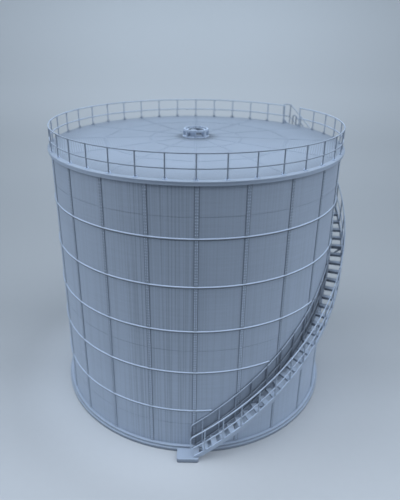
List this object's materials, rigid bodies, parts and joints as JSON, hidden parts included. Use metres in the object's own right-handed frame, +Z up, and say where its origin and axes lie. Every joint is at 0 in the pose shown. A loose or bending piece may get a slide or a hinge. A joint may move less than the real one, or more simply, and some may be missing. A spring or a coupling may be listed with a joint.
{
  "type": "model railway storage tank",
  "caption": "Upright riveted cylindrical storage tank in HO scale with a railed lift-off roof, a centre vent and a stair that wraps around the shell.",
  "frame": {"origin": "centre of the tank on the ground plane, at the middle of the base ring's underside", "axes": "+Z up along the tank's axis; -Y is the front, where the stair starts; +X is the side that the stair climbs past first"},
  "size_m": [0.1493, 0.1503, 0.1414],
  "materials": {
    "resin": "matt printed resin"
  },
  "bodies": {
    "tank": {"base_ring": "resin", "floor_plate": "resin", "shell": "resin", "girth_rings": "resin", "seam_straps": "resin", "landing_pad": "resin", "outer_stringer": "resin", "inner_stringer": "resin", "stair_treads": "resin", "stair_landing": "resin", "stair_brackets": "resin", "outer_stair_posts": "resin", "inner_stair_posts": "resin", "outer_handrail": "resin", "inner_handrail": "resin"},
    "roof": {"roof_rim": "resin", "roof_spigot": "resin", "roof_deck": "resin", "roof_radial_seams": "resin", "roof_ring_seams": "resin", "roof_posts": "resin", "roof_post_feet": "resin", "roof_top_rail": "resin", "roof_mid_rail": "resin", "vent_flange": "resin", "vent_drum": "resin", "vent_hood": "resin"}
  },
  "joints": [
    {"name": "roof_lift", "type": "slide", "parent": "tank", "child": "roof", "axis": [0, 0, 1], "range_m": [0, 0.04]}
  ]
}
